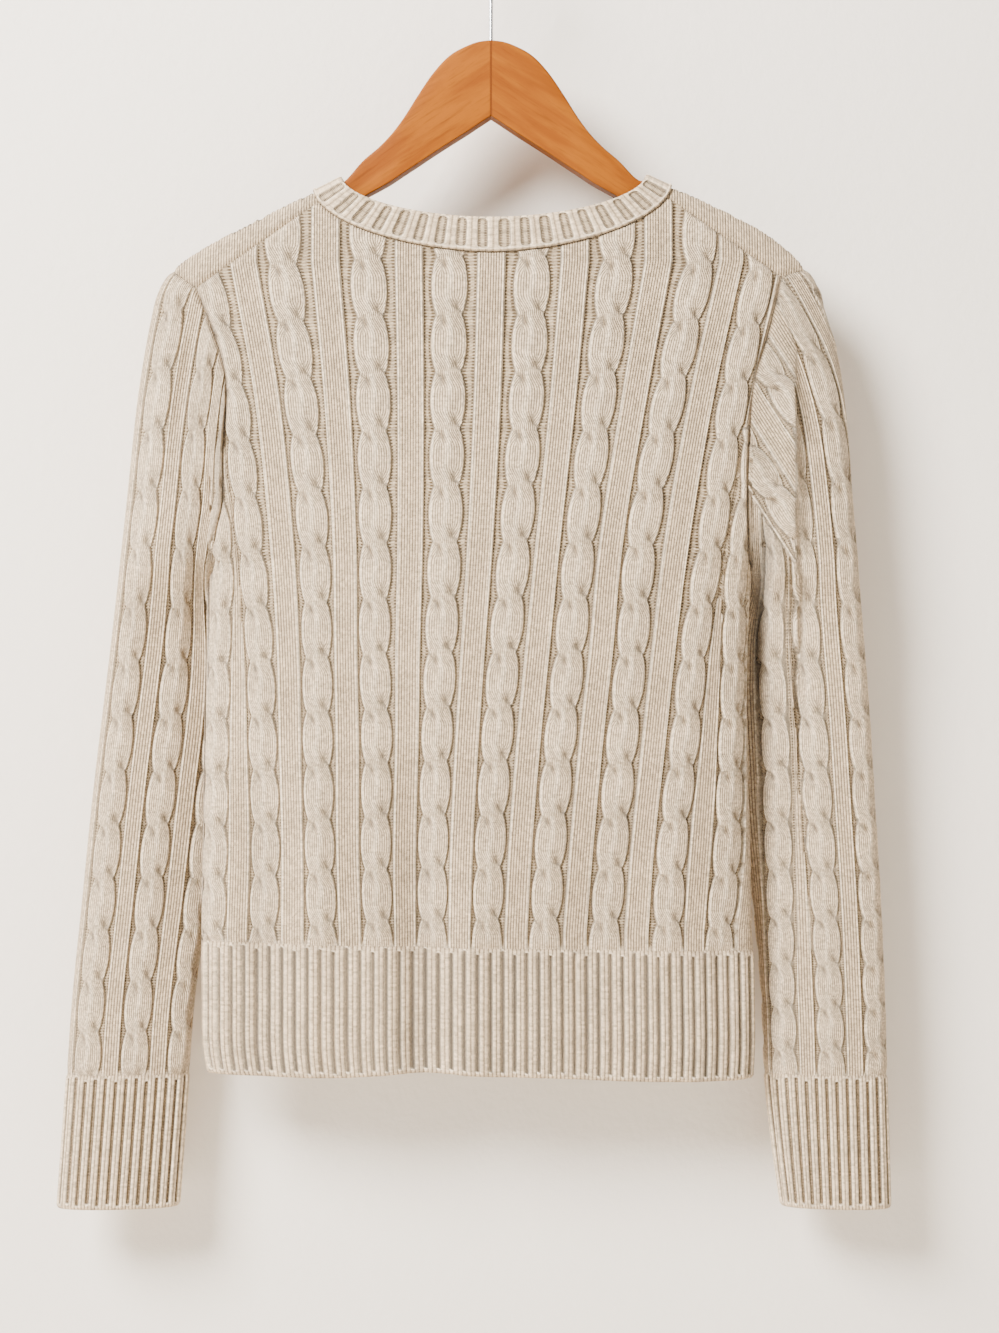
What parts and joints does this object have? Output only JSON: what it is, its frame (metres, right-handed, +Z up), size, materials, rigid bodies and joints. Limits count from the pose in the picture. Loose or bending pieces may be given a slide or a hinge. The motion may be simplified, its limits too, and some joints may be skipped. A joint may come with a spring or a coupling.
{
  "type": "cable knit sweater on a hanger",
  "caption": "Long-sleeved cable knit pullover sweater with ribbed collar, hem and cuffs, hanging still on a plain wooden hanger with a wire hook.",
  "frame": {"origin": "the inside top of the hanger's hook, where the rail bears", "axes": "+Z up; +X towards the wearer's right sleeve; -Y the garment's back, +Y its front"},
  "size_m": [0.5514, 0.0779, 0.8485],
  "materials": {
    "knit": "matte cream wool knit",
    "wood": "semi-gloss varnish",
    "wire": "plated, bright"
  },
  "bodies": {
    "root": {"back": "knit", "front": "knit", "sleeve_left": "knit", "sleeve_right": "knit", "hem_back": "knit", "hem_front": "knit", "cuff_left": "knit", "cuff_right": "knit", "neckband": "knit", "hanger_arm_left": "wood", "hanger_arm_right": "wood", "hook": "wire"}
  },
  "joints": []
}
